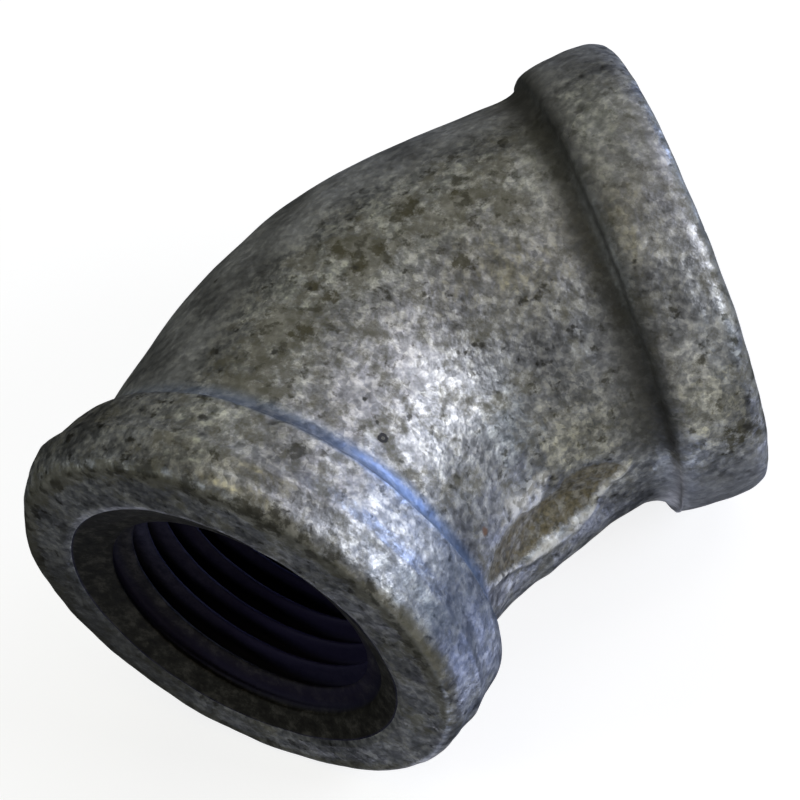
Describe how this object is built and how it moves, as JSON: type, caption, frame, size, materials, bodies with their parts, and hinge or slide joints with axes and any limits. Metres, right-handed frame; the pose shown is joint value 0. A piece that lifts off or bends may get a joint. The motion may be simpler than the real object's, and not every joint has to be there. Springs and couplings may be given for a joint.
{
  "type": "pipe elbow",
  "caption": "45-degree banded pipe elbow in galvanised malleable iron, with an internal taper pipe thread in each end and an open curved passage between them.",
  "frame": {"origin": "under the middle of the casting's box, on the surface that the elbow rests on when it lies on its side", "axes": "+Z is normal to the plane of the bend; socket A faces -Y; socket B faces halfway between +X and +Y, 45 degrees off the line of socket A"},
  "size_m": [0.0436, 0.0494, 0.033],
  "materials": {
    "galvanised_iron": "hot-dip galvanised sand casting, weathered grey with brown stains"
  },
  "bodies": {
    "root": {"elbow_casting": "galvanised_iron"}
  },
  "joints": []
}
